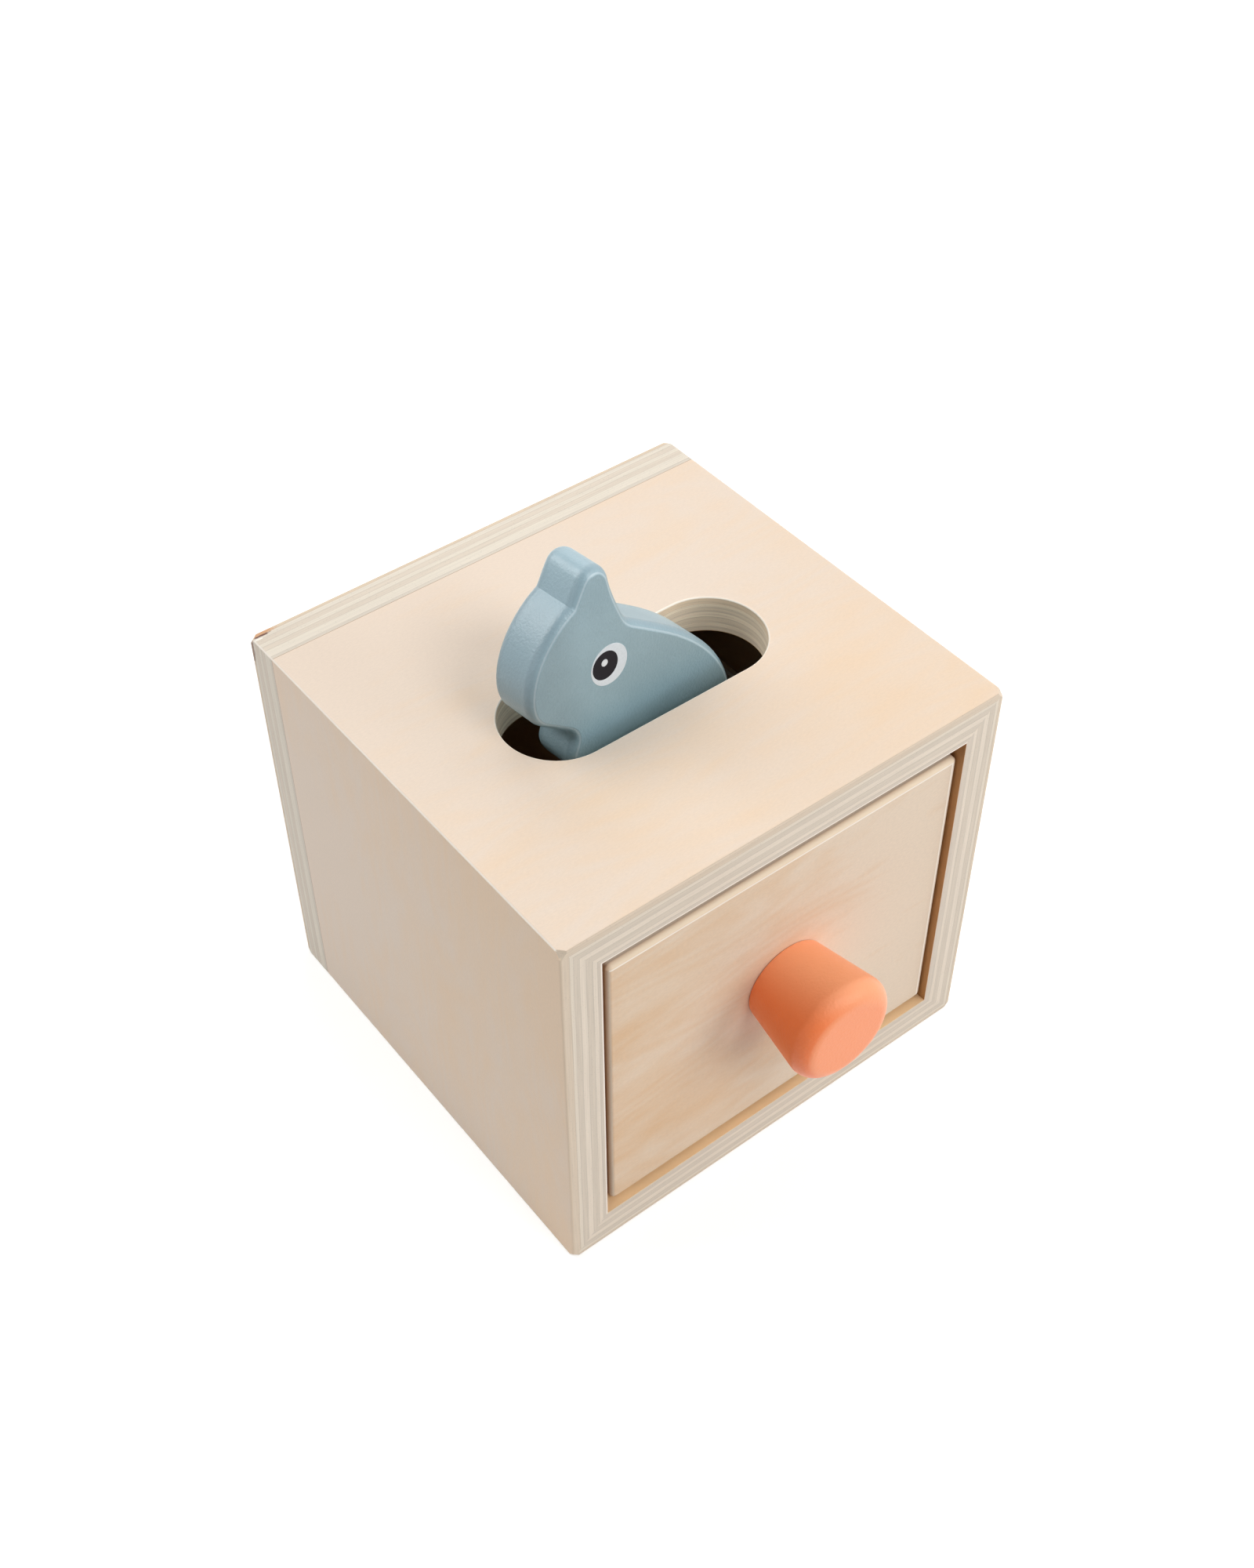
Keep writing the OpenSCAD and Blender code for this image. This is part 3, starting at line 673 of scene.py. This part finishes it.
class MakeDrawer(bpy.types.Operator):
    """Dresses the five boards of the drawer"""
    bl_idname = "permanence.make_drawer"
    bl_label = "Make the drawer"

    def execute(self, context):
        front = {
            "outward": (0, -1, 0), "face": -FRONT_LOW.y, "grain": (1, 0, 0), "seed": 6,
            "plies": BOX_PLIES, "thickness": FRONT_HIGH.y - FRONT_LOW.y, "edge_tints": True,
            "drift": (-0.009, 0, 0)}
        left = {
            "outward": (-1, 0, 0), "face": -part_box("drawer_left_side")[0].x,
            "grain": (0, 1, 0), "seed": 7}
        right = {
            "outward": (1, 0, 0), "face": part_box("drawer_right_side")[1].x,
            "grain": (0, 1, 0), "seed": 8}
        back = {
            "outward": (0, 1, 0), "face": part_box("drawer_back")[1].y,
            "grain": (1, 0, 0), "seed": 9}
        bottom = {
            "outward": (0, 0, -1), "face": -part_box("drawer_bottom")[0].z,
            "grain": (1, 0, 0), "seed": 10, "plies": BOTTOM_PLIES, "thickness": DRAWER_FLOOR}
        boards = {
            "drawer_front": front, "drawer_left_side": left, "drawer_right_side": right,
            "drawer_back": back, "drawer_bottom": bottom}
        shared = {
            "plies": THIN_PLIES, "thickness": DRAWER_BOARD, "block": (FRONT_LOW, FRONT_HIGH),
            "drawer": True}
        for node, board in boards.items():
            material = plywood("drawer_plywood_" + node, shared | board)
            board_piece(node, material, "drawer")
        return {"FINISHED"}


class MakeKnob(bpy.types.Operator):
    """Turns the knob from a disc and gives its screw its metal"""
    bl_idname = "permanence.make_knob"
    bl_label = "Make the knob"

    def execute(self, context):
        looks = context.scene.permanence_knob
        length = KNOB_HIGH.y - KNOB_LOW.y
        foot = looks.foot / 2
        rim = ((KNOB_HIGH.x - KNOB_LOW.x) / 2 - looks.rim_round, length - looks.rim_round)
        # The flared side touches the round foot and the round rim
        dx = foot - rim[0]
        flare = math.atan2(rim[1], dx) - math.acos(looks.rim_round / math.hypot(dx, rim[1]))
        foot_inset = looks.foot_round * (1 - math.sin(flare)) / math.cos(flare)
        foot_middle = (foot - foot_inset, looks.foot_round)
        profile = []
        for (across, up), radius, start, end, steps in (
                (foot_middle, looks.foot_round, -math.pi / 2, -flare, FOOT_STEPS),
                (rim, looks.rim_round, -flare, math.pi / 2, RIM_STEPS)):
            for step in range(steps + 1):
                angle = start + (end - start) * step / steps
                profile.append((across + radius * math.cos(angle), up + radius * math.sin(angle)))
        bpy.ops.object.select_all(action="DESELECT")
        bpy.ops.mesh.primitive_circle_add(
            vertices=KNOB_SIDES, radius=profile[0][0], fill_type="NGON", enter_editmode=True,
            location=(0, 0, 0))
        piece = context.active_object
        bpy.ops.mesh.select_all(action="SELECT")
        for (radius, level), (next_radius, next_level) in zip(profile, profile[1:]):
            bpy.ops.mesh.extrude_region_move(
                TRANSFORM_OT_translate={"value": (0, 0, next_level - level)})
            share = next_radius / radius
            bpy.ops.transform.resize(
                value=(share, share, 1), center_override=(0, 0, next_level))
        bpy.ops.mesh.inset(thickness=0.6 * MM)
        bpy.ops.mesh.select_all(action="SELECT")
        bpy.ops.mesh.normals_make_consistent(inside=False)
        bpy.ops.object.mode_set(mode="OBJECT")
        middle = (KNOB_LOW + KNOB_HIGH) / 2
        piece.data.transform(
            Matrix.Translation((middle.x, KNOB_HIGH.y, middle.z))
            @ Matrix.Rotation(math.pi / 2, 4, "X"))
        smooth(piece)
        # Painted light: the paint is paler towards the upper right, where the light falls, and a
        # painted sheen makes the end face paler
        upper_right = Vector((0.6, 0.25, 0.76))
        centre = upper_right.dot(middle)
        fades = (
            (upper_right, centre - 3 * MM, centre + 11 * MM, 0.0, 0.75),
            ((0, 1, 0), KNOB_LOW.y + 0.1 * MM, KNOB_LOW.y + 0.8 * MM, 0.45, 0.0))
        paint = satin_paint(
            "satin_orange_paint", looks.paint, linear("#FFB284"),
            roughness=0.4, sheen=0.3, grit=0.7, spread=0.12, fades=fades)
        dress(piece, "knob_turned", paint, "drawer")
        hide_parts("knob")
        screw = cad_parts["knob_screw"]
        screw.data.materials.clear()
        screw.data.materials.append(zinc_plate())
        return {"FINISHED"}


# Outline of the animal, nose to the left, in shares of its size: a point, the handle that
# leaves it and the handle that reaches the next point
ANIMAL_OUTLINE = [
    ((-0.342, 0.567), (-0.453, 0.517), (-0.558, 0.392)),
    ((-0.560, 0.258), (-0.560, 0.197), (-0.538, 0.162)),
    ((-0.507, 0.137), (-0.478, 0.115), (-0.448, 0.092)),
    ((-0.420, 0.070), (-0.393, 0.050), (-0.380, 0.033)),
    ((-0.380, 0.007), (-0.380, -0.020), (-0.407, -0.043)),
    ((-0.407, -0.077), (-0.407, -0.115), (-0.365, -0.163)),
    ((-0.340, -0.203), (-0.267, -0.323), (-0.100, -0.433)),
    ((0.067, -0.450), (0.143, -0.457), (0.167, -0.483)),
    ((0.143, -0.560), (0.123, -0.623), (0.153, -0.660)),
    ((0.200, -0.640), (0.243, -0.620), (0.257, -0.560)),
    ((0.320, -0.557), (0.373, -0.553), (0.403, -0.570)),
    ((0.450, -0.537), (0.493, -0.503), (0.477, -0.460)),
    ((0.417, -0.450), (0.343, -0.437), (0.320, -0.410)),
    ((0.343, -0.340), (0.370, -0.263), (0.380, -0.220)),
    ((0.373, -0.160), (0.348, 0.007), (0.210, 0.160)),
    ((0.057, 0.273), (0.013, 0.305), (-0.027, 0.335)),
    ((-0.067, 0.363), (-0.090, 0.380), (-0.103, 0.393)),
    ((-0.115, 0.423), (-0.133, 0.470), (-0.157, 0.540)),
    ((-0.165, 0.600), (-0.170, 0.640), (-0.200, 0.675)),
    ((-0.237, 0.675), (-0.267, 0.675), (-0.283, 0.660)),
    ((-0.298, 0.637), (-0.313, 0.615), (-0.327, 0.590)),
]
# Printed eye: middle across and up, radius and ink height, in mm on the animal's face
EYE = (
    ("white", (-12.3, 15.2), 5.0, 0.06),
    ("pupil", (-13.4, 15.6), 3.5, 0.10),
    ("glint", (-13.56, 16.4), 0.9, 0.14),
)
# Width in mm of the ink's sloping rim
INK_SLOPE = 0.06


def animal_place(looks):
    """Places the plate, drawn flat with its near face at level 0, in the slot."""
    return (Matrix.Translation((0, looks.near_y, BOX_HIGH.z))
            @ Matrix.Rotation(looks.turn, 4, "Z")
            @ Matrix.Rotation(math.pi / 2 - looks.lean, 4, "X"))


class MakeAnimal(bpy.types.Operator):
    """Cuts the animal's plate from its drawn outline and rounds its edges"""
    bl_idname = "permanence.make_animal"
    bl_label = "Make the animal"

    def execute(self, context):
        looks = context.scene.permanence_animal
        bpy.ops.object.select_all(action="DESELECT")
        bpy.ops.curve.primitive_bezier_circle_add(location=(0, 0, 0))
        piece = context.active_object
        curve = piece.data
        curve.dimensions = "2D"
        curve.fill_mode = "NONE"
        curve.resolution_u = 12
        spline = curve.splines[0]
        spline.bezier_points.add(len(ANIMAL_OUTLINE) - len(spline.bezier_points))
        for index, (point, leaving, _) in enumerate(ANIMAL_OUTLINE):
            knot = spline.bezier_points[index]
            knot.handle_left_type = knot.handle_right_type = "FREE"
            knot.co = Vector(point).to_3d() * looks.size
            knot.handle_right = Vector(leaving).to_3d() * looks.size
            knot.handle_left = Vector(ANIMAL_OUTLINE[index - 1][2]).to_3d() * looks.size
        bpy.ops.object.convert(target="MESH")
        piece = context.active_object
        bpy.ops.object.mode_set(mode="EDIT")
        bpy.ops.mesh.select_all(action="SELECT")
        bpy.ops.mesh.remove_doubles(threshold=0.02 * MM)
        bpy.ops.mesh.edge_face_add()
        bpy.ops.object.mode_set(mode="OBJECT")
        faces_down = piece.data.polygons[0].normal.z < 0
        bpy.ops.object.mode_set(mode="EDIT")
        if faces_down:
            bpy.ops.mesh.flip_normals()
        # Half of the plate: its straight edge, then the round in narrow rings. The rounding bit cut
        # a little too deep, which leaves a crisp line round the flat face.
        last = math.asin(1 - looks.step / looks.edge_round)
        height = looks.edge_round * math.sin(last)
        bpy.ops.mesh.extrude_region_move(
            TRANSFORM_OT_translate={"value": (0, 0, looks.thickness / 2 - height)})
        for ring in range(EDGE_RINGS):
            start, end = last * ring / EDGE_RINGS, last * (ring + 1) / EDGE_RINGS
            bpy.ops.mesh.inset(
                thickness=looks.edge_round * (math.cos(start) - math.cos(end)),
                depth=looks.edge_round * (math.sin(end) - math.sin(start)))
        bpy.ops.mesh.region_to_loop()
        bpy.ops.mesh.mark_sharp()
        # The face left in the plate's middle goes, and the half is mirrored there
        bpy.ops.mesh.select_all(action="DESELECT")
        bpy.ops.mesh.select_mode(type="FACE")
        bpy.ops.object.mode_set(mode="OBJECT")
        for face in piece.data.polygons:
            face.select = face.center.z < 0.01 * MM
        bpy.ops.object.mode_set(mode="EDIT")
        bpy.ops.mesh.delete(type="ONLY_FACE")
        bpy.ops.mesh.select_mode(type="VERT")
        bpy.ops.object.mode_set(mode="OBJECT")
        mirror = piece.modifiers.new("other_half", "MIRROR")
        mirror.use_axis = (False, False, True)
        mirror.merge_threshold = 0.01 * MM
        bpy.ops.object.modifier_apply(modifier=mirror.name)
        bpy.ops.object.mode_set(mode="EDIT")
        bpy.ops.mesh.select_all(action="SELECT")
        bpy.ops.mesh.normals_make_consistent(inside=False)
        bpy.ops.object.mode_set(mode="OBJECT")
        smooth(piece, 25)
        place = animal_place(looks)
        piece.data.transform(place @ Matrix.Translation((0, 0, -looks.thickness / 2)))
        # Behind each face a dark band on the round, painted shade, and a thin pale line at its rim,
        # a painted highlight
        out = place.to_3x3() @ Vector((0, 0, 1))
        near = out.dot(place.translation)
        far = near - looks.thickness
        bands = (
            (out, near - 1.4 * MM, 1.3 * MM, "#5B7783", 0.4),
            (out, far + 1.4 * MM, 1.3 * MM, "#5B7783", 0.2),
            (out, near - 0.18 * MM, 0.15 * MM, "#B4C7CF", 0.6),
            (out, far + 0.18 * MM, 0.15 * MM, "#B4C7CF", 0.6),
        )
        paint = satin_paint(
            "satin_blue_grey_paint", looks.paint, linear("#8DAAB5"),
            roughness=0.35, sheen=0.8, grit=0.6, spread=1.0, bands=bands,
            ends=(-17 * MM, -27 * MM, "#2B3A42", 0.22))
        dress(piece, "animal_plate", paint, "animal")
        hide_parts("animal_figure")
        return {"FINISHED"}


class MakeEyes(bpy.types.Operator):
    """Prints an eye on each face of the animal"""
    bl_idname = "permanence.make_eyes"
    bl_label = "Make the eyes"

    def execute(self, context):
        looks = context.scene.permanence_animal
        inks = {
            "white": printed_ink("white_ink", looks.eye_white),
            "pupil": printed_ink("black_ink", looks.eye_black),
            "glint": printed_ink("glint_ink", linear("#DDE2E6")),
        }
        place = animal_place(looks)
        behind = Matrix.Translation((0, 0, -looks.thickness)) @ Matrix.Rotation(math.pi, 4, "Y")
        near_eyes, far_eyes = [], []
        for part, (across, up), radius, ink in EYE:
            bpy.ops.object.select_all(action="DESELECT")
            bpy.ops.mesh.primitive_circle_add(
                vertices=EYE_SIDES, radius=radius * MM, fill_type="NGON", enter_editmode=True,
                location=(0, 0, 0))
            near = context.active_object
            bpy.ops.mesh.select_all(action="SELECT")
            bpy.ops.mesh.extrude_region_move(TRANSFORM_OT_translate={"value": (0, 0, ink * MM)})
            share = 1 - INK_SLOPE / radius
            bpy.ops.transform.resize(
                value=(share, share, 1), center_override=(0, 0, ink * MM))
            bpy.ops.mesh.select_all(action="SELECT")
            bpy.ops.mesh.normals_make_consistent(inside=False)
            bpy.ops.object.mode_set(mode="OBJECT")
            far = near.copy()
            far.data = near.data.copy()
            near.data.transform(place @ Matrix.Translation((across * MM, up * MM, 0)))
            far.data.transform(place @ behind @ Matrix.Translation((-across * MM, up * MM, 0)))
            near_eyes.append((near, f"eye_{part}_near", inks[part]))
            far_eyes.append((far, f"eye_{part}_far", inks[part]))
        for piece, _, _ in far_eyes:
            context.scene.collection.objects.link(piece)
        for piece, name, ink in near_eyes + far_eyes:
            dress(piece, name, ink, "animal")
        return {"FINISHED"}


# Floor: its width in metres, and how strongly it glows to the camera at two distances in metres
FLOOR_SIZE = 6.0
GLOW_NEAR, GLOW_FAR = (0.4, 0.48), (1.1, 1.1)
# How bright the floor and the room are in a mirror
FLOOR_MIRRORED, ROOM_MIRRORED = 0.9, 2.2


def light_rays(tree):
    """Tells rays that the camera sees, and rays that a mirror or a glass sends on."""
    rays = add(tree, "LightPath").node.outputs
    mirrored = add(tree, "Math", "MAXIMUM", {
        0: rays["Is Glossy Ray"], 1: rays["Is Transmission Ray"]})
    return rays["Is Camera Ray"], mirrored


class SetStage(bpy.types.Operator):
    """Lays the floor and sets the lamps and the camera"""
    bl_idname = "permanence.set_stage"
    bl_label = "Set the stage"

    def execute(self, context):
        looks = context.scene.permanence_stage
        scene = context.scene
        scene.view_settings.view_transform = "Standard"

        # Floor: matt white card that the camera sees white outside the object's shadow
        bpy.ops.object.select_all(action="DESELECT")
        bpy.ops.mesh.primitive_plane_add(size=FLOOR_SIZE, location=(0, 0, 0))
        floor = context.active_object
        floor.name = "floor"
        material, tree = new_material("matt_white_card")
        card = add(tree, "BsdfDiffuse", None, {0: linear("#E2E2E2")})
        seen, mirrored = light_rays(tree)
        # Far away, where the lamps don't reach, the card glows more, so that it stays white
        place = add(tree, "TexCoord", out=3)
        away = add(tree, "VectorMath", "LENGTH", {0: place}, 1)
        away = add(tree, "MapRange", SMOOTH, {
            0: away, 1: GLOW_NEAR[0], 2: GLOW_FAR[0], 3: GLOW_NEAR[1], 4: GLOW_FAR[1]})
        strength = add(tree, "Math", "MULTIPLY", {0: seen, 1: away})
        strength = add(tree, "Math", "MULTIPLY_ADD", {0: mirrored, 1: FLOOR_MIRRORED, 2: strength})
        glow = add(tree, "Emission", None, {0: linear("#FFFFFF"), 1: strength})
        both = add(tree, "AddShader", None, {0: card, 1: glow})
        add(tree, "OutputMaterial", None, {0: both})
        floor.data.materials.append(material)

        # Even light from all round, white to the camera
        world = bpy.data.worlds.new("white_room")
        world.use_nodes = True
        tree = world.node_tree
        tree.nodes.clear()
        seen, mirrored = light_rays(tree)
        strength = add(tree, "MapRange", None, {0: mirrored, 3: looks.sky, 4: ROOM_MIRRORED})
        strength = add(tree, "Math", "MAXIMUM", {0: strength, 1: seen})
        light = add(tree, "Background", None, {0: linear("#FFFFFF"), 1: strength})
        add(tree, "OutputWorld", None, {0: light})
        scene.world = world

        # Wide lamps all round, as in a photographer's tent: name, place, width and power. Those
        # behind the box give the paint its sheen.
        middle = Vector((0, 0, BOX_HIGH.z / 2))
        for name, place, size, power in (
                ("overhead_lamp", (0, 0, 1.15), 0.9, looks.overhead),
                ("rear_left_lamp", (-0.55, 0.6, 0.85), 0.8, looks.rear_left),
                ("rear_right_lamp", (0.45, 0.65, 0.85), 0.8, looks.rear_right),
                ("front_top_lamp", (0.07, -0.8, 0.95), 0.5, looks.front_top),
                ("front_low_lamp", (0.6, -0.95, 0.4), 0.7, looks.front_low),
                ("right_lamp", (1.35, -0.3, 1.2), 1.8, looks.right),
                ("left_low_lamp", (-1.1, -0.1, 0.4), 0.7, looks.left_low)):
            lamp = bpy.data.lights.new(name, "AREA")
            lamp.shape = "DISK"
            lamp.size = size
            lamp.energy = power
            piece = bpy.data.objects.new(name, lamp)
            scene.collection.objects.link(piece)
            piece.location = place
            piece.rotation_euler = (middle - Vector(place)).to_track_quat("-Z", "Y").to_euler()

        camera = bpy.data.cameras.new("camera")
        camera.lens = looks.lens
        camera.clip_start = 0.01
        piece = bpy.data.objects.new("camera", camera)
        scene.collection.objects.link(piece)
        piece.location = looks.camera_place
        piece.rotation_euler = Euler(looks.camera_turn)
        scene.camera = piece
        return {"FINISHED"}


class PermanencePanel(bpy.types.Panel):
    """Buttons and values of the permanence box"""
    bl_idname = "VIEW3D_PT_permanence"
    bl_label = "Permanence Box"
    bl_space_type = "VIEW_3D"
    bl_region_type = "UI"
    bl_category = "Permanence Box"

    def draw(self, context):
        for operator, group in STEPS:
            box = self.layout.box()
            box.operator(operator.bl_idname)
            if group is not None:
                looks = getattr(context.scene, group)
                for name in looks.__annotations__:
                    box.prop(looks, name)


GROUPS = {
    "permanence_wood": PlywoodLooks,
    "permanence_knob": KnobLooks,
    "permanence_animal": AnimalLooks,
    "permanence_stage": StageLooks,
}
STEPS = (
    (MakeBox, "permanence_wood"),
    (MakeDrawer, None),
    (MakeKnob, "permanence_knob"),
    (MakeAnimal, "permanence_animal"),
    (MakeEyes, None),
    (SetStage, "permanence_stage"),
)


def register():
    for group in GROUPS.values():
        bpy.utils.register_class(group)
    for operator, _ in STEPS:
        bpy.utils.register_class(operator)
    bpy.utils.register_class(PermanencePanel)
    for name, group in GROUPS.items():
        setattr(bpy.types.Scene, name, bpy.props.PointerProperty(type=group))


def unregister():
    for name in GROUPS:
        delattr(bpy.types.Scene, name)
    bpy.utils.unregister_class(PermanencePanel)
    for operator, _ in STEPS:
        bpy.utils.unregister_class(operator)
    for group in GROUPS.values():
        bpy.utils.unregister_class(group)


def main():
    register()
    bpy.ops.permanence.make_box()
    bpy.ops.permanence.make_drawer()
    bpy.ops.permanence.make_knob()
    bpy.ops.permanence.make_animal()
    bpy.ops.permanence.make_eyes()
    bpy.ops.permanence.set_stage()


if __name__ == "__main__":
    main()
